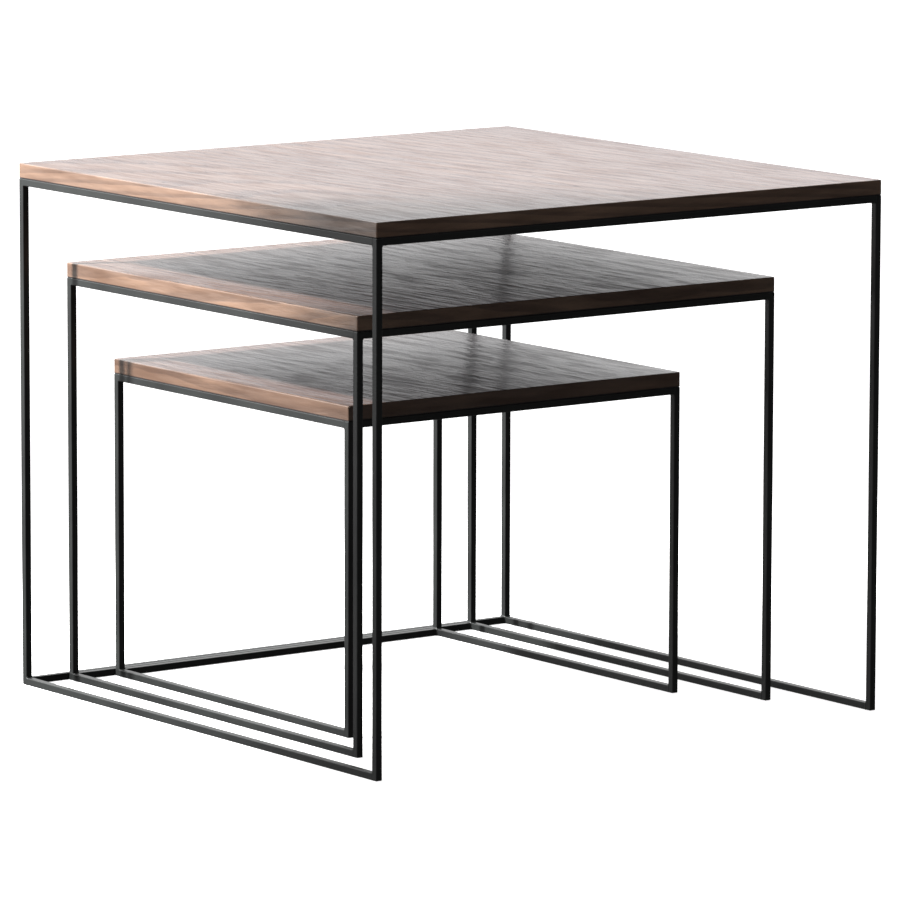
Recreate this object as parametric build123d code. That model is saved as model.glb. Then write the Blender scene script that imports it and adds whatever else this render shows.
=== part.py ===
from build123d import *
from collections import namedtuple
import os

# A nest of three square side tables, millimetres.
# Each table is an open frame of welded square steel bar with an oak board lying on it.
# A frame has four legs, a ring of four top rails, and floor rails on the left, back and
# right. Its front is open at the floor, so the next smaller table slides in from there.
# X runs to the right as seen from the open front, -Y points out of the front, Z is up.
# The origin is on the floor under the middle of the large table.

# Large table, overall
WIDTH = 600.0
DEPTH = 600.0
HEIGHT = 520.0

# Square steel bar
BAR = 7.0
BAR_EDGE = 0.8  # rounding of the bar's edges

# Oak board
BOARD = 15.0
BOARD_ARRIS = 1.2  # rounding of the board's edges

# How the tables nest
SIDE_GAP = 43.0  # from a leg to the side of the table inside
BACK_GAP = 1.0  # between two back floor rails
MIDDLE_TOP_GAP = 79.0  # from the large ring down to the middle board
SMALL_TOP_GAP = 77.0  # from the middle ring down to the small board
MIDDLE_FRONT_STEP = 100.0  # from the large front back to the middle one
SMALL_FRONT_STEP = 84.0  # from the middle front back to the small one

# Corner tabs, welded inside the top ring and flush with it, which hold the board
TAB_SIDE = 32.0
TAB_THICKNESS = 3.0
TAB_ROUND = 3.0  # rounding of the tab's two sharp ends
TAB_HOLE_INSET = 10.5  # from each rail to the middle of the screw hole

# Wood screws, one through each tab
SCREW_DIAMETER = 4.0
SCREW_HOLE_PLAY = 0.6  # hole in the tab over the screw's diameter
SCREW_COVER = 4.0  # wood left above the screw's point
SCREW_POINT = 2.5  # height of the pointed end
SCREW_HEAD_DIAMETER = 8.0
SCREW_HEAD_HEIGHT = 2.4
SCREW_HEAD_ROUND = 1.4
RECESS_LENGTH = 4.4  # arms of the cross recess in the head
RECESS_WIDTH = 0.9
RECESS_DEPTH = 1.3

Table = namedtuple("Table", "name width front back height")

CENTRED = (Align.CENTER, Align.CENTER, Align.MIN)


def table_inside(outer, name, front_step, top_gap):
    """The next smaller table, placed where it stands under the outer one."""
    return Table(
        name=name,
        width=outer.width - 2 * (BAR + SIDE_GAP),
        front=outer.front + front_step,
        back=outer.back - BAR - BACK_GAP,
        height=ring_bottom(outer) - top_gap,
    )


def board_bottom(table):
    return table.height - BOARD


def ring_bottom(table):
    return board_bottom(table) - BAR


def corners(table):
    """Name, outer corner and inward direction of the four corners."""
    half = table.width / 2
    return [
        ("front_left", -half, table.front, 1, 1),
        ("front_right", half, table.front, -1, 1),
        ("back_left", -half, table.back, 1, -1),
        ("back_right", half, table.back, -1, -1),
    ]


def leg(table, x, y, in_x, in_y):
    """From the floor up to the board, with all its edges rounded."""
    place = Pos(x + in_x * BAR / 2, y + in_y * BAR / 2, 0)
    post = Box(BAR, BAR, board_bottom(table), align=CENTRED)
    return place * fillet(post.edges(), BAR_EDGE)


def rail(length, turn):
    """A bar with square-cut ends, centred, that starts as an upright one."""
    section = RectangleRounded(BAR, BAR, BAR_EDGE)
    return turn * extrude(section, length / 2, both=True)


def side_rail(table, side, bottom):
    """Between the two legs of one side."""
    length = table.back - table.front - 2 * BAR
    x = side * (table.width - BAR) / 2
    y = (table.back + table.front) / 2
    return Pos(x, y, bottom + BAR / 2) * rail(length, Rot(90, 0, 0))


def cross_rail(table, y, bottom):
    """Between the left and the right legs, with its middle line at y."""
    length = table.width - 2 * BAR
    return Pos(0, y, bottom + BAR / 2) * rail(length, Rot(0, 90, 0))


def hole_centre(x, y, in_x, in_y):
    """Where a corner's screw stands, from the outer corner of the table."""
    inset = BAR + TAB_HOLE_INSET
    return Pos(x + in_x * inset, y + in_y * inset, 0)


def tab(table, x, y, in_x, in_y):
    """A triangular plate against both rails of a corner, up to the board."""
    inner = (x + in_x * BAR, y + in_y * BAR)
    end_x = (inner[0] + in_x * TAB_SIDE, inner[1])
    end_y = (inner[0], inner[1] + in_y * TAB_SIDE)
    outline = make_face(Polyline(inner, end_x, end_y, close=True))
    sharp = [v for v in outline.vertices() if (Vector(*inner) - Vector(v)).length > BAR]
    outline = fillet(sharp, TAB_ROUND)
    hole = hole_centre(x, y, in_x, in_y) * Circle((SCREW_DIAMETER + SCREW_HOLE_PLAY) / 2)
    plate = extrude(outline - hole, TAB_THICKNESS)
    return Pos(0, 0, board_bottom(table) - TAB_THICKNESS) * plate


def screw_shank(length):
    """The threaded length as a plain cylinder with a pointed end."""
    straight = length - SCREW_POINT
    radius = SCREW_DIAMETER / 2
    body = Cylinder(radius, straight, align=CENTRED)
    point = Pos(0, 0, straight) * Cone(radius, radius / 6, SCREW_POINT, align=CENTRED)
    return body + point


def screw(table):
    """Upright, with its head under the tab and its point in the board."""
    tab_bottom = board_bottom(table) - TAB_THICKNESS
    head = Cylinder(SCREW_HEAD_DIAMETER / 2, SCREW_HEAD_HEIGHT, align=CENTRED)
    head = fillet(head.edges().group_by(Axis.Z)[0], SCREW_HEAD_ROUND)
    for angle in (0, 90):
        arm = Box(RECESS_LENGTH, RECESS_WIDTH, RECESS_DEPTH, align=CENTRED)
        head -= Rot(0, 0, angle) * arm
    head = Pos(0, 0, tab_bottom - SCREW_HEAD_HEIGHT) * head
    shank = screw_shank(TAB_THICKNESS + BOARD - SCREW_COVER)
    return head + Pos(0, 0, tab_bottom) * shank


def board(table):
    """The oak board, flush with the frame, with a pilot hole for each screw."""
    depth = table.back - table.front
    slab = Box(table.width, depth, BOARD, align=CENTRED)
    slab = fillet(slab.edges(), BOARD_ARRIS)
    slab = Pos(0, (table.back + table.front) / 2, board_bottom(table)) * slab
    pilot = Pos(0, 0, board_bottom(table) - TAB_THICKNESS)
    pilot = pilot * screw_shank(TAB_THICKNESS + BOARD - SCREW_COVER)
    for _, *corner in corners(table):
        slab -= hole_centre(*corner) * pilot
    return slab


def table_pieces(table):
    """Every piece of one table by its name."""
    pieces = {"board": board(table)}
    for corner_name, *corner in corners(table):
        pieces["leg_" + corner_name] = leg(table, *corner)
        pieces["corner_tab_" + corner_name] = tab(table, *corner)
    for side_name, side in (("left", -1), ("right", 1)):
        pieces["top_rail_" + side_name] = side_rail(table, side, ring_bottom(table))
        pieces["floor_rail_" + side_name] = side_rail(table, side, 0)
    back_line = table.back - BAR / 2
    front_line = table.front + BAR / 2
    pieces["top_rail_front"] = cross_rail(table, front_line, ring_bottom(table))
    pieces["top_rail_back"] = cross_rail(table, back_line, ring_bottom(table))
    pieces["floor_rail_back"] = cross_rail(table, back_line, 0)
    one_screw = screw(table)
    screws = [hole_centre(*corner) * one_screw for _, *corner in corners(table)]
    pieces["board_screws"] = Compound(children=screws)
    return pieces


large = Table("large", WIDTH, -DEPTH / 2, DEPTH / 2, HEIGHT)
middle = table_inside(large, "middle", MIDDLE_FRONT_STEP, MIDDLE_TOP_GAP)
small = table_inside(middle, "small", SMALL_FRONT_STEP, SMALL_TOP_GAP)

os.makedirs("parts", exist_ok=True)
for table in (large, middle, small):
    for piece_name, solid in table_pieces(table).items():
        export_step(solid, "parts/" + table.name + "_" + piece_name + ".step")
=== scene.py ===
import math

import bmesh
import bpy
from mathutils import Matrix, Vector


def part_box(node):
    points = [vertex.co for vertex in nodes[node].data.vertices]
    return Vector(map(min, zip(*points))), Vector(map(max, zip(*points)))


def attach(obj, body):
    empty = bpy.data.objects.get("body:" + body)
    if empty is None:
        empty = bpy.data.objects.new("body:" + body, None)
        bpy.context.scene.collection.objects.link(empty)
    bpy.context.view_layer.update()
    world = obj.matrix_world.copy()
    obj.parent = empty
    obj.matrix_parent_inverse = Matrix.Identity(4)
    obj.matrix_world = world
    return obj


# A nest of three side tables: dark-stained oak boards on welded, black powder-coated
# frames of square steel bar. Metres. X right, -Y out of the open front, Z up.

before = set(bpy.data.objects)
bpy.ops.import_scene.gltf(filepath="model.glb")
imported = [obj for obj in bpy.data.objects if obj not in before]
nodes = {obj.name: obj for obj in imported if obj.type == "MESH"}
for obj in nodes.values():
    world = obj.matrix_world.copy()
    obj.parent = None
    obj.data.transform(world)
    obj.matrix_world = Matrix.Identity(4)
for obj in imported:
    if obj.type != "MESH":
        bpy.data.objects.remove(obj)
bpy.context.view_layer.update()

MM = 0.001
TABLES = ("large", "middle", "small")


# ---------------------------------------------------------------- colours and nodes


def linear(hex_colour):
    """An sRGB hex colour as linear red, green, blue and alpha."""
    channels = [int(hex_colour[i : i + 2], 16) / 255 for i in (1, 3, 5)]
    return tuple(c / 12.92 if c <= 0.04045 else ((c + 0.055) / 1.055) ** 2.4 for c in channels) + (1.0,)


def add(tree, kind, inputs=None, stops=None, **settings):
    """Adds a node. An input is a value, a node whose first output is linked, or a socket."""
    node = tree.nodes.new("ShaderNode" + kind)
    for name, value in settings.items():
        setattr(node, name, value)
    for name, value in (inputs or {}).items():
        if isinstance(value, bpy.types.Node):
            value = value.outputs[0]
        if isinstance(value, bpy.types.NodeSocket):
            tree.links.new(value, node.inputs[name])
        else:
            node.inputs[name].default_value = value
    for i, (place, colour) in enumerate(stops or ()):
        ramp = node.color_ramp.elements
        stop = ramp[i] if i < 2 else ramp.new(place)
        stop.position = place
        stop.color = colour
    return node


def new_material(name):
    """An empty node material and its tree."""
    material = bpy.data.materials.new(name)
    material.use_nodes = True
    material.node_tree.nodes.clear()
    return material, material.node_tree


def grey(value):
    return (value, value, value, 1.0)


# ---------------------------------------------------------------- stained oak

# Open-grain oak, brushed, stained dark and sprayed with satin lacquer. The brushing leaves
# the soft early rings and the pores low, so light breaks into short streaks along the grain.
# The lacquer is the smoother skin over them, which mirrors the room at a low angle.
OAK_PORE = linear("#22150F")
OAK_EARLY = linear("#4B3629")
OAK_BODY = linear("#624A3A")
OAK_LATE = linear("#7C604C")
OAK_IOR = 1.5
OAK_ROUGHNESS = 0.45
OAK_PORE_ROUGHNESS = 0.6
LACQUER_ROUGHNESS = 0.2
THIN_LACQUER = 0.4  # share that is left where the soft fibres drank it
HAZE = linear("#E8E3FA")  # fine fibres that stand up through the lacquer, seen at a low angle
HAZE_WEIGHT = 0.15
HAZE_ROUGHNESS = 0.35
LEAF = 150 * MM  # width of one board in the glued-up top
HEART_DEPTH = 30 * MM  # of the log's heart under the top, where the figure is widest
HEART_RISE = 0.075  # how fast the heart comes up along the grain, which draws the arches
HEART_SPREAD = 400 * MM  # how far the heart lines of the glued boards are scattered
SWAY_WIDTH = 200 * MM  # of one slow bend in the grain
SWAY_LENGTH = 667 * MM
SWAY_REACH = (50 * MM, 0.0, 30 * MM)  # how far the bends carry it
RING = 9 * MM  # real rings are 2 to 4 mm; they are drawn this coarse so that they show
# Share of early wood across one ring: it starts at once in spring and fades by midsummer
EARLY_WOOD = ((0.0, 0.0), (0.06, 1.0), (0.32, 0.75), (0.5, 0.05), (1.0, 0.0))
PORE_WIDTH = 1.1 * MM  # real pores are 0.3 mm wide; drawn this coarse so that they show
PORE_LENGTH = 16 * MM
PORE_RIM = 0.56  # noise at which a pore begins
PORE_FLOOR = 0.66  # and at which it is fully open
LATE_PORES = 0.25  # share of the pores' depth that the late wood has
STREAK_WIDTH = 9 * MM  # bundles of fibres
STREAK_LENGTH = 80 * MM
STREAK_SOFT = 0.38  # noise under which the fibres are soft and drink the lacquer
STREAK_HARD = 0.55
BLOTCH = 143 * MM  # of the stain's slow changes of tone
RING_RELIEF = 0.10 * MM
PORE_RELIEF = 0.10 * MM
STREAK_RELIEF = 1.6 * MM  # real relief is a tenth of this; drawn this deep so that it shows
SEAM_SHADE_FULL = 0.7 * MM  # painted shade in the seam where the board sits on the ring: fully dark up to here
# the painted seam shade fades out by this height over the underside
SEAM_SHADE_END = 1.6 * MM
SANDED_SHARE = 0.2  # the sanded edges and underside are flatter than the brushed top
FACING = 0.7  # share of a face's normal along an axis, past which it faces that way
EDGE_LEAN = 0.9  # and under which, along Z, it belongs to an edge
# How much each part of the figure moves the tone
STREAK_TONE = 0.9
BLOTCH_TONE = 0.3
EARLY_TONE = -0.22
LEAF_TONE = 0.12


def stained_oak(table, shift, depth, brushing):
    """One table's oak. shift moves the pattern, so that no two boards are alike. depth darkens
    the tone of all of its wood, and brushing is how deep the relief is."""
    board = f"{table}_board"
    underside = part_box(board)[0][2]
    material, tree = new_material(f"dark_stained_oak_{table}")
    source = add(tree, "TexCoord")

    # The grain runs front to back, and along the lipping on the front and back edges
    facing = add(tree, "SeparateXYZ", {0: source.outputs["Normal"]})
    end = add(tree, "Math", {0: facing.outputs["Y"]}, operation="ABSOLUTE")
    end = add(tree, "Math", {0: end, 1: FACING}, operation="GREATER_THAN")
    top = add(tree, "Math", {0: facing.outputs["Z"], 1: FACING}, operation="GREATER_THAN")
    edge = add(tree, "Math", {0: facing.outputs["Z"]}, operation="ABSOLUTE")
    edge = add(tree, "Math", {0: edge, 1: EDGE_LEAN}, operation="LESS_THAN")
    spot = source.outputs["Object"]
    axes = add(tree, "SeparateXYZ", {0: spot}).outputs
    turned = add(tree, "CombineXYZ", {"X": axes["Y"], "Y": axes["X"], "Z": axes["Z"]})
    place = add(tree, "Mix", {0: end, 4: spot, 5: turned}, data_type="VECTOR")
    place = add(tree, "VectorMath", {0: place.outputs[1], 1: shift}, operation="ADD")
    sway = add(
        tree,
        "VectorMath",
        {0: place, 1: (1 / SWAY_WIDTH, 1 / SWAY_LENGTH, 1 / SWAY_WIDTH)},
        operation="MULTIPLY",
    )
    sway = add(tree, "TexNoise", {"Vector": sway, "Scale": 1.0, "Detail": 5.0})
    sway = add(tree, "VectorMath", {0: sway.outputs["Color"], 1: (0.5, 0.5, 0.5)}, operation="SUBTRACT")
    sway = add(tree, "VectorMath", {0: sway, 1: SWAY_REACH}, operation="MULTIPLY")
    grain = add(tree, "VectorMath", {0: place, 1: sway}, operation="ADD")
    across = add(tree, "SeparateXYZ", {0: grain})

    # Each glued board has its own heart line and its own tone
    straight = add(tree, "SeparateXYZ", {0: place})
    leaf = add(tree, "Math", {0: straight.outputs["X"], 1: LEAF}, operation="DIVIDE")
    leaf = add(tree, "Math", {0: leaf}, operation="FLOOR")
    leaf = add(tree, "TexWhiteNoise", {"W": leaf}, noise_dimensions="1D")
    heart_x = add(tree, "Math", {0: leaf, 1: HEART_SPREAD, 2: -HEART_SPREAD / 2}, operation="MULTIPLY_ADD")
    side = add(tree, "Math", {0: across.outputs["X"], 1: heart_x}, operation="SUBTRACT")
    rise = add(
        tree,
        "Math",
        {0: across.outputs["Y"], 1: HEART_RISE, 2: HEART_DEPTH},
        operation="MULTIPLY_ADD",
    )
    below = add(tree, "Math", {0: across.outputs["Z"], 1: rise}, operation="ADD")
    from_heart = add(tree, "CombineXYZ", {"X": side, "Z": below})
    radius = add(tree, "VectorMath", {0: from_heart}, operation="LENGTH")
    rings = add(tree, "Math", {0: radius.outputs["Value"], 1: RING}, operation="DIVIDE")
    ring_place = add(tree, "Math", {0: rings}, operation="FRACT")
    stops = [(at, grey(value)) for at, value in EARLY_WOOD]
    early = add(tree, "ValToRGB", {"Fac": ring_place}, stops=stops)

    pore = add(
        tree,
        "VectorMath",
        {0: grain, 1: (1 / PORE_WIDTH, 1 / PORE_LENGTH, 1 / PORE_WIDTH)},
        operation="MULTIPLY",
    )
    pore = add(tree, "TexNoise", {"Vector": pore, "Scale": 1.0, "Detail": 1.0})
    pore = add(
        tree,
        "MapRange",
        {"Value": pore, "From Min": PORE_RIM, "From Max": PORE_FLOOR},
        interpolation_type="SMOOTHSTEP",
    )
    pore_share = add(tree, "Math", {0: early, 1: 1 - LATE_PORES, 2: LATE_PORES}, operation="MULTIPLY_ADD")
    pore = add(tree, "Math", {0: pore, 1: pore_share}, operation="MULTIPLY")
    share = add(tree, "MapRange", {"Value": top, "To Min": SANDED_SHARE, "To Max": 1.0})
    pore = add(tree, "Math", {0: pore, 1: share}, operation="MULTIPLY")

    streak = add(
        tree,
        "VectorMath",
        {0: grain, 1: (1 / STREAK_WIDTH, 1 / STREAK_LENGTH, 1 / STREAK_WIDTH)},
        operation="MULTIPLY",
    )
    streak = add(tree, "TexNoise", {"Vector": streak, "Scale": 1.0, "Detail": 3.0, "Roughness": 0.55})
    blotch = add(tree, "TexNoise", {"Vector": place, "Scale": 1 / BLOTCH, "Detail": 2.0})

    # Tone from 0, the darkest wood, to 1, the palest
    tone = add(tree, "Math", {0: streak, 1: STREAK_TONE, 2: -depth}, operation="MULTIPLY_ADD")
    tone = add(tree, "Math", {0: blotch, 1: BLOTCH_TONE, 2: tone}, operation="MULTIPLY_ADD")
    tone = add(tree, "Math", {0: early, 1: EARLY_TONE, 2: tone}, operation="MULTIPLY_ADD")
    tone = add(tree, "Math", {0: leaf, 1: LEAF_TONE, 2: tone}, operation="MULTIPLY_ADD")
    wood = add(
        tree,
        "ValToRGB",
        {"Fac": tone},
        stops=[(0.2, OAK_EARLY), (0.55, OAK_BODY), (0.85, OAK_LATE)],
    )
    colour = add(tree, "Mix", {0: pore, 6: wood, 7: OAK_PORE}, data_type="RGBA")
    # Painted shade: along the sides' lower arris, where the board meets the ring, the wood is darkened to
    # pore colour, fully at first and fading out a little higher
    seam_shade = add(
        tree,
        "MapRange",
        {
            "Value": axes["Z"],
            "From Min": underside + SEAM_SHADE_FULL,
            "From Max": underside + SEAM_SHADE_END,
            "To Min": 1.0,
            "To Max": 0.0,
        },
    )
    seam_shade = add(tree, "Math", {0: seam_shade, 1: edge}, operation="MULTIPLY")
    colour = add(tree, "Mix", {0: seam_shade, 6: colour.outputs[2], 7: OAK_PORE}, data_type="RGBA")
    roughness = add(
        tree,
        "MapRange",
        {"Value": pore, "To Min": OAK_ROUGHNESS, "To Max": OAK_PORE_ROUGHNESS},
    )

    # Heights in millimetres: the brushed top keeps all of its relief, the rest a share
    streak_relief = brushing * STREAK_RELIEF / MM
    height = add(tree, "Math", {0: early, 1: -RING_RELIEF / MM}, operation="MULTIPLY")
    height = add(tree, "Math", {0: pore, 1: -PORE_RELIEF / MM, 2: height}, operation="MULTIPLY_ADD")
    height = add(tree, "Math", {0: streak, 1: streak_relief, 2: height}, operation="MULTIPLY_ADD")
    height = add(tree, "Math", {0: height, 1: share}, operation="MULTIPLY")
    relief = add(tree, "Bump", {"Height": height, "Distance": MM, "Strength": 1.0})

    film = add(
        tree,
        "MapRange",
        {
            "Value": streak,
            "From Min": STREAK_SOFT,
            "From Max": STREAK_HARD,
            "To Min": THIN_LACQUER,
            "To Max": 1.0,
        },
    )
    # The lacquer fills the pores, so its skin follows the streaks alone
    skin = add(tree, "Math", {0: streak, 1: streak_relief}, operation="MULTIPLY")
    skin = add(tree, "Math", {0: skin, 1: share}, operation="MULTIPLY")
    skin = add(tree, "Bump", {"Height": skin, "Distance": MM, "Strength": 1.0})
    shader = add(
        tree,
        "BsdfPrincipled",
        {
            "Base Color": colour.outputs[2],
            "Roughness": roughness,
            "IOR": OAK_IOR,
            "Normal": relief,
            "Coat Weight": film,
            "Coat Roughness": LACQUER_ROUGHNESS,
            "Coat Normal": skin,
            "Sheen Weight": HAZE_WEIGHT,
            "Sheen Roughness": HAZE_ROUGHNESS,
            "Sheen Tint": HAZE,
        },
    )
    add(tree, "OutputMaterial", {"Surface": shader})
    return material


# ---------------------------------------------------------------- powder coat and zinc

# Ground steel bar, powder-coated satin black. The baked powder flows into a fine orange peel.
COAT_BLACK = linear("#1B1C1C")
COAT_GREY = linear("#262827")
COAT_ROUGHNESS = 0.38
COAT_SPREAD = 0.05  # either way of that
COAT_CLOUD = 71.4 * MM  # of the slow changes in its sheen and tone
PEEL = 1.6 * MM  # real orange peel is about this size
PEEL_RELIEF = 0.012 * MM


def black_powder_coat(name):
    material, tree = new_material(name)
    place = add(tree, "TexCoord").outputs["Object"]
    peel = add(tree, "TexNoise", {"Vector": place, "Scale": 1 / PEEL, "Detail": 1.0})
    cloud = add(tree, "TexNoise", {"Vector": place, "Scale": 1 / COAT_CLOUD, "Detail": 3.0})
    colour = add(tree, "ValToRGB", {"Fac": cloud}, stops=[(0.3, COAT_BLACK), (0.7, COAT_GREY)])
    roughness = add(
        tree,
        "MapRange",
        {"Value": cloud, "To Min": COAT_ROUGHNESS - COAT_SPREAD, "To Max": COAT_ROUGHNESS + COAT_SPREAD},
    )
    relief = add(tree, "Bump", {"Height": peel, "Distance": PEEL_RELIEF, "Strength": 1.0})
    shader = add(
        tree,
        "BsdfPrincipled",
        {"Base Color": colour, "Roughness": roughness, "Normal": relief},
    )
    add(tree, "OutputMaterial", {"Surface": shader})
    return material


# Zinc-plated steel screws, turned and barrel-plated, so bright and faintly mottled.
ZINC = linear("#B9BCBE")
ZINC_DULL = linear("#8E9296")
ZINC_MOTTLE = 1.1 * MM  # patches left by the tumbling in the barrel
ZINC_ROUGHNESS = (0.22, 0.4)  # bright patches and dull ones


def plated_zinc(name):
    material, tree = new_material(name)
    place = add(tree, "TexCoord").outputs["Object"]
    mottle = add(tree, "TexNoise", {"Vector": place, "Scale": 1 / ZINC_MOTTLE, "Detail": 2.0})
    colour = add(tree, "ValToRGB", {"Fac": mottle}, stops=[(0.35, ZINC_DULL), (0.65, ZINC)])
    bright, dull = ZINC_ROUGHNESS
    roughness = add(tree, "MapRange", {"Value": mottle, "To Min": bright, "To Max": dull})
    shader = add(tree, "BsdfPrincipled", {"Base Color": colour, "Metallic": 1.0, "Roughness": roughness})
    add(tree, "OutputMaterial", {"Surface": shader})
    return material


# ---------------------------------------------------------------- the tables

oak = {
    "large": stained_oak("large", shift=(0.31, 0.12, 0.0), depth=0.0, brushing=0.6),
    "middle": stained_oak("middle", shift=(1.47, 0.45, 0.10), depth=0.0, brushing=1.2),
    "small": stained_oak("small", shift=(2.86, 0.93, 0.20), depth=0.2, brushing=1.1),
}
powder_coat = black_powder_coat("black_powder_coat")
zinc = plated_zinc("plated_zinc")

for name, node in nodes.items():
    if name.endswith("_board"):
        finish = oak[name.split("_")[0]]
    elif name.endswith("_screws"):
        finish = zinc
    else:
        finish = powder_coat
    for slot in node.material_slots:
        slot.material = finish


# ---------------------------------------------------------------- welds

# Each rail's end is welded all round to its leg. The bead is ground flush on the outside
# and left as a rippled fillet wherever the bars make an inner corner.
BEAD = 1.3 * MM
BEAD_STEPS = 6
ROOT = 0.9 * MM  # reaches into the groove beside the leg's rounded edge
BURIED = 0.4 * MM  # of the bead's back, inside the rail
BAR_EDGE = 0.8 * MM  # the bar's rounded edges
GROUND_BACK = 0.02 * MM  # the ground weld lies this far under the bars' faces
LEFT = 0.01  # of what stood out, after grinding
PROUD = 0.25 * MM  # of the bars' faces on the inside, where nobody grinds it
RIPPLES = 22
RIPPLE = 0.07  # of the bead's size
ROUND_STEPS = 132


def rounded_square(half, edge, steps):
    """Points along a rounded square round the origin, each with its outward direction."""
    straight = 2 * (half - edge)
    side_length = straight + math.pi / 2 * edge
    points = []
    for i in range(steps):
        side, along = divmod(i * 4 * side_length / steps, side_length)
        turn = side * math.pi / 2
        if along < straight:
            point = Vector((half, along - straight / 2))
            outward = 0.0
        else:
            outward = (along - straight) / edge
            corner = Vector((half - edge, half - edge))
            point = corner + edge * Vector((math.cos(outward), math.sin(outward)))
        spin = Matrix.Rotation(turn, 2)
        points.append((spin @ point, spin @ Vector((math.cos(outward), math.sin(outward)))))
    return points


def bead_profile(size):
    """The bead's section, as distances along the rail and out of its faces."""
    section = [(size, -BURIED), (-ROOT, -BURIED), (-ROOT, 0.0)]
    for i in range(BEAD_STEPS + 1):
        turn = i / BEAD_STEPS * math.pi / 2
        section.append((size * (1 - math.cos(turn)), size * (1 - math.sin(turn))))
    return section


def weld(table, rail, end):
    """The bead between a rail's end and its leg. end is front, back, left or right."""
    rail_low, rail_high = (Vector(point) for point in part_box(f"{table}_{rail}"))
    along = 0 if end in ("left", "right") else 1
    across = 1 - along
    way = 1 if end in ("left", "front") else -1
    joint = rail_low[along] if way > 0 else rail_high[along]
    middle = (rail_low + rail_high) / 2
    half = (rail_high.z - rail_low.z) / 2
    side = rail.split("_")[-1]
    corner = f"{side}_{end}" if side in ("front", "back") else f"{end}_{side}"
    leg_low, leg_high = (Vector(point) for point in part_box(f"{table}_leg_{corner}"))

    # The limits of the bead: flush outside, a little proud or a whole fillet inside
    low = leg_low + Vector((GROUND_BACK, GROUND_BACK, GROUND_BACK))
    high = leg_high - Vector((GROUND_BACK, GROUND_BACK, GROUND_BACK))
    inside = BEAD if along == 0 else PROUD
    for axis, reach in ((along, BEAD), (across, inside)):
        if middle_of_nest[table][axis] > leg_high[axis]:
            high[axis] = leg_high[axis] + reach
        else:
            low[axis] = leg_low[axis] - reach

    mesh = bmesh.new()
    rings = []
    for i, (point, outward) in enumerate(rounded_square(half, BAR_EDGE, ROUND_STEPS)):
        size = BEAD * (1 - RIPPLE + RIPPLE * math.cos(2 * math.pi * RIPPLES * i / ROUND_STEPS))
        ring = []
        for ahead, out in bead_profile(size):
            spot = Vector((0.0, 0.0, middle.z + point.y + outward.y * out))
            spot[along] = joint + way * ahead
            spot[across] = middle[across] + point.x + outward.x * out
            for axis in range(3):
                kept = min(max(spot[axis], low[axis]), high[axis])
                spot[axis] = kept + LEFT * (spot[axis] - kept)
            ring.append(mesh.verts.new(spot))
        rings.append(ring)
    for ring, following in zip(rings, rings[1:] + rings[:1]):
        for i in range(len(ring)):
            j = (i + 1) % len(ring)
            mesh.faces.new((ring[i], ring[j], following[j], following[i])).smooth = True
    bmesh.ops.recalc_face_normals(mesh, faces=mesh.faces)
    data = bpy.data.meshes.new(f"{table}_weld_{rail}_{end}")
    mesh.to_mesh(data)
    mesh.free()
    data.materials.append(powder_coat)
    piece = bpy.data.objects.new(data.name, data)
    bpy.context.scene.collection.objects.link(piece)
    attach(piece, f"{table}_table")


middle_of_nest = {}
for table in TABLES:
    board_low, board_high = (Vector(point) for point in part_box(f"{table}_board"))
    middle_of_nest[table] = (board_low + board_high) / 2
    for side in ("front", "back", "left", "right"):
        ends = ("left", "right") if side in ("front", "back") else ("front", "back")
        for end in ends:
            weld(table, f"top_rail_{side}", end)
            if side != "front":
                weld(table, f"floor_rail_{side}", end)


# ---------------------------------------------------------------- floor, light and camera

FLOOR_SIZE = 80.0
FLOOR_DROP = 0.3 * MM  # keeps the floor just clear of the rails that stand on it
FLOOR_PAINT = linear("#EDEDED")
FLOOR_ROUGHNESS = 0.9
FLOOR_GLOW = 0.8
WHITE = linear("#FFFFFF")

# A white studio floor, lit until it is plain white. It throws no light on the tables:
# the world below the horizon stands for its bounce, bright behind and dark in front.
bpy.ops.mesh.primitive_plane_add(size=FLOOR_SIZE)
floor = bpy.context.object
floor.name = "studio_floor"
floor.location.z = -FLOOR_DROP
floor.visible_diffuse = False
floor.visible_glossy = False
floor.visible_shadow = False
floor_paint, tree = new_material("white_floor_paint")
painted = add(
    tree,
    "BsdfPrincipled",
    {
        "Base Color": FLOOR_PAINT,
        "Roughness": FLOOR_ROUGHNESS,
        "Emission Color": WHITE,
        "Emission Strength": FLOOR_GLOW,
    },
)
# It is clear from below, so that the undersides can be seen through it
under = add(tree, "NewGeometry")
clear = add(tree, "BsdfTransparent")
painted = add(tree, "MixShader", {0: under.outputs["Backfacing"], 1: painted, 2: clear})
add(tree, "OutputMaterial", {"Surface": painted})
floor.data.materials.append(floor_paint)

# The backdrop is bright behind and to the left, most of all where it curves up. The room over
# it and in front is dim. The levels are the light's strength, and the camera sees plain white.
BRIGHT_SIDE = Vector((-0.5, 0.85, 0.1)).normalized()
# Cosines of the angle from the bright side
DIM_END = -0.7
BRIGHT_START = 0.4
DARK_LEVEL = 0.065
GROUND_LEVEL = 0.25
HORIZON_LEVEL = 0.56
CURVE_LEVEL = 2.6
ZENITH_LEVEL = 0.4
# Sines of the heights over the horizon
GROUND_END = -0.06  # where the floor meets the backdrop
BACKDROP_START = 0.04
CURVE_START = 0.1  # where the backdrop curves up
CURVE_END = 0.55
ZENITH_START = 0.65  # where it ends
ZENITH_END = 0.85

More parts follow.
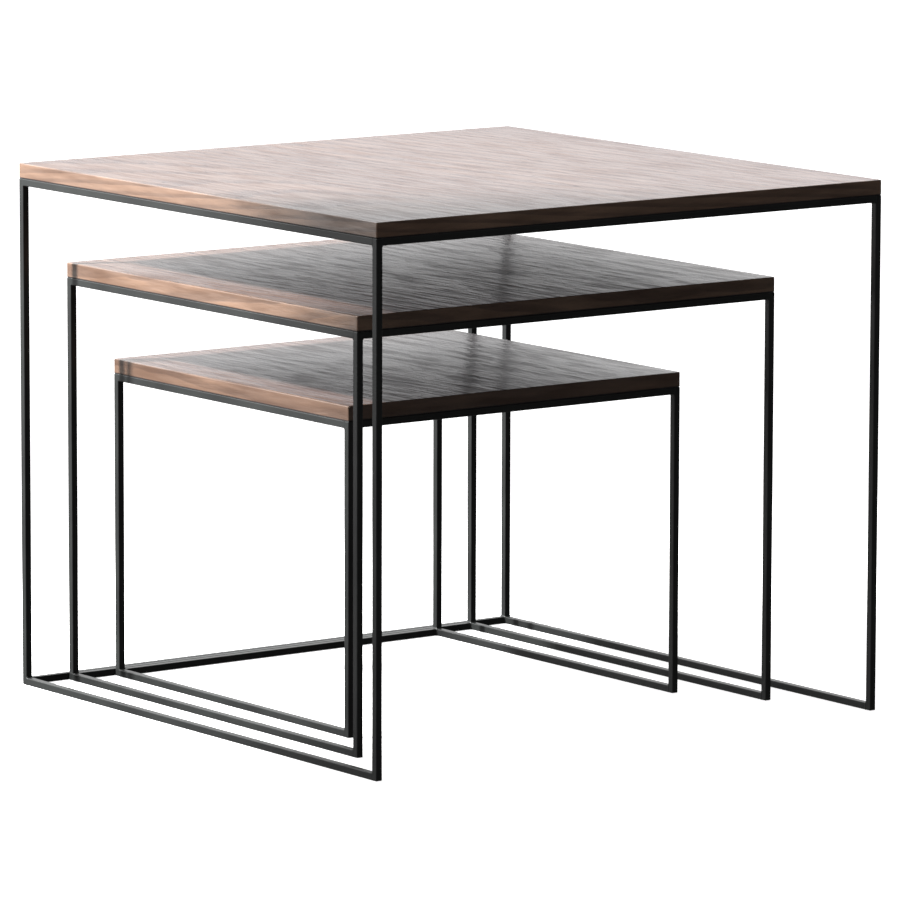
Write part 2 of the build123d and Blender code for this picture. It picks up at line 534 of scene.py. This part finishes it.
world = bpy.data.worlds.new("studio")
world.use_nodes = True
world.node_tree.nodes.clear()
bpy.context.scene.world = world
tree = world.node_tree
outward = add(tree, "TexCoord")
towards = add(
    tree, "VectorMath", {0: outward.outputs["Generated"], 1: BRIGHT_SIDE}, operation="DOT_PRODUCT"
)
height = add(tree, "SeparateXYZ", {0: outward.outputs["Generated"]})
bright = add(
    tree,
    "MapRange",
    {
        "Value": height.outputs["Z"],
        "From Min": CURVE_START,
        "From Max": CURVE_END,
        "To Min": HORIZON_LEVEL,
        "To Max": CURVE_LEVEL,
    },
    interpolation_type="SMOOTHSTEP",
)
bright = add(
    tree,
    "MapRange",
    {
        "Value": height.outputs["Z"],
        "From Min": ZENITH_START,
        "From Max": ZENITH_END,
        "To Min": bright,
        "To Max": ZENITH_LEVEL,
    },
    interpolation_type="SMOOTHSTEP",
)
bright = add(
    tree,
    "MapRange",
    {
        "Value": height.outputs["Z"],
        "From Min": GROUND_END,
        "From Max": BACKDROP_START,
        "To Min": GROUND_LEVEL,
        "To Max": bright,
    },
)
level = add(
    tree,
    "MapRange",
    {
        "Value": towards.outputs["Value"],
        "From Min": DIM_END,
        "From Max": BRIGHT_START,
        "To Min": DARK_LEVEL,
        "To Max": bright,
    },
    interpolation_type="SMOOTHSTEP",
)
seen = add(tree, "LightPath")
level = add(tree, "Mix", {0: seen.outputs["Is Camera Ray"], 2: level, 3: 1.0}, data_type="FLOAT")
studio = add(tree, "Background", {"Color": WHITE, "Strength": level})
add(tree, "OutputWorld", {"Surface": studio})


def lamp(name, kind, place, target, power, **settings):
    """A lamp that shines from place to target, and isn't seen itself."""
    data = bpy.data.lights.new(name, kind)
    data.energy = power
    for key, value in settings.items():
        setattr(data, key, value)
    holder = bpy.data.objects.new(name, data)
    holder.location = place
    holder.rotation_euler = (Vector(target) - Vector(place)).to_track_quat("-Z", "Y").to_euler()
    holder.visible_camera = False
    bpy.context.scene.collection.objects.link(holder)
    return holder


KEY_TURN = math.radians(26.6)  # from the left towards the back
KEY_HEIGHT = math.radians(36.5)
KEY_DISTANCE = 2.6
KEY_RADIUS = 0.1
KEY_POWER = 1350.0
KEY_CONE = math.radians(40)
KEY_BLEND = 0.5
key_aim = Vector((-0.25, 0.10, 0.45))
key_way = Vector(
    (
        -math.cos(KEY_HEIGHT) * math.cos(KEY_TURN),
        math.cos(KEY_HEIGHT) * math.sin(KEY_TURN),
        math.sin(KEY_HEIGHT),
    )
)
key_place = key_aim + KEY_DISTANCE * key_way
lamp(
    "key",
    "SPOT",
    key_place,
    key_aim,
    KEY_POWER,
    spot_size=KEY_CONE,
    spot_blend=KEY_BLEND,
    shadow_soft_size=KEY_RADIUS,
)

# A long white card stands low behind the left side, and the left faces mirror it
CARD_TURN = math.radians(53.6)  # from the back towards the left
CARD_DISTANCE = 2.5
CARD_WIDTH = 1.6
CARD_HEIGHT = 0.5
CARD_POWER = 3.5
CARD_SHIFT = 0.4  # along its own length, towards the back right
card_way = Vector((-math.sin(CARD_TURN), math.cos(CARD_TURN), 0.0))
card_along = Vector((math.cos(CARD_TURN), math.sin(CARD_TURN), 0.0))
card_aim = Vector((-0.3, 0.0, 0.3)) + CARD_SHIFT * card_along
lamp(
    "card",
    "AREA",
    card_aim + CARD_DISTANCE * card_way,
    card_aim,
    CARD_POWER,
    shape="RECTANGLE",
    size=CARD_WIDTH,
    size_y=CARD_HEIGHT,
)

# A flag stands half way to the key lamp and keeps its light off the front of the nest
FLAG_SIZE = 3.0
FLAG_BLACK = linear("#272727")
FLAG_EDGE = Vector((-0.3, -0.09, 0.45))  # where the middle of its soft shadow edge falls
bpy.ops.mesh.primitive_plane_add(size=FLAG_SIZE, rotation=(0.0, math.radians(90), 0.0))
flag = bpy.context.object
flag.name = "flag"
flag.location = (key_place + FLAG_EDGE) / 2 - Vector((0.0, FLAG_SIZE / 2, 0.0))
flag.visible_camera = False
flag.visible_diffuse = False
flag.visible_glossy = False
flag_cloth, tree = new_material("black_flag_cloth")
cloth = add(tree, "BsdfDiffuse", {"Color": FLAG_BLACK})
add(tree, "OutputMaterial", {"Surface": cloth})
flag.data.materials.append(flag_cloth)

# The camera is a long lens, low and to the front left
AIM = Vector((0.0023, -0.0040, 0.2460))
DISTANCE = 6.768
YAW = math.radians(36.422)
PITCH = math.radians(8.740)
ROLL = math.radians(0.139)
FOCAL_LENGTH = 276.8  # in millimetres, as is the sensor
SENSOR_WIDTH = 36.0
SIGHT = 200.0  # past the edge of the floor
lens = bpy.data.cameras.new("camera")
lens.sensor_width = SENSOR_WIDTH
lens.lens = FOCAL_LENGTH
lens.clip_end = SIGHT
camera = bpy.data.objects.new("camera", lens)
ahead = Vector((math.sin(YAW) * math.cos(PITCH), math.cos(YAW) * math.cos(PITCH), -math.sin(PITCH)))
turn = ahead.to_track_quat("-Z", "Y").to_matrix().to_4x4() @ Matrix.Rotation(ROLL, 4, "Z")
camera.matrix_world = Matrix.Translation(AIM - DISTANCE * ahead) @ turn
bpy.context.scene.collection.objects.link(camera)
bpy.context.scene.camera = camera
bpy.context.scene.view_settings.view_transform = "Standard"
